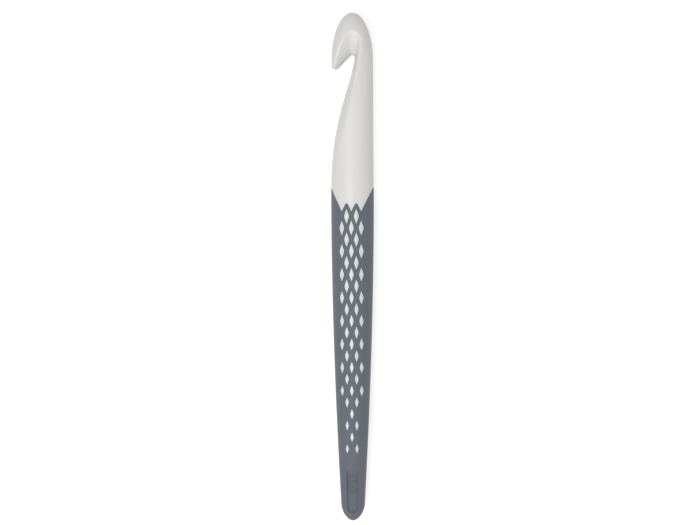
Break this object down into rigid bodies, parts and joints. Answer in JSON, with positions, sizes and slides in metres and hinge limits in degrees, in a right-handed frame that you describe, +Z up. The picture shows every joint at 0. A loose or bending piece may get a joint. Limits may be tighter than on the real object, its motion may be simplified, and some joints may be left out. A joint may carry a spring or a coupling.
{
  "type": "crochet hook",
  "caption": "Large round crochet hook of white plastic with a deep smooth throat and a tapered soft-grip handle patterned with diamond windows.",
  "frame": {"origin": "bottom centre of the bounding box, on the surface the hook lies on", "axes": "+Y along the hook towards the head, +Z up out of the face with the size recess, so the throat opens towards -X"},
  "size_m": [0.0152, 0.18, 0.015],
  "materials": {
    "core": "satin warm-white moulded plastic",
    "grip": "fine matt blue-grey thermoplastic rubber"
  },
  "bodies": {
    "root": {"hook_core": "core", "soft_grip": "grip"}
  },
  "joints": []
}
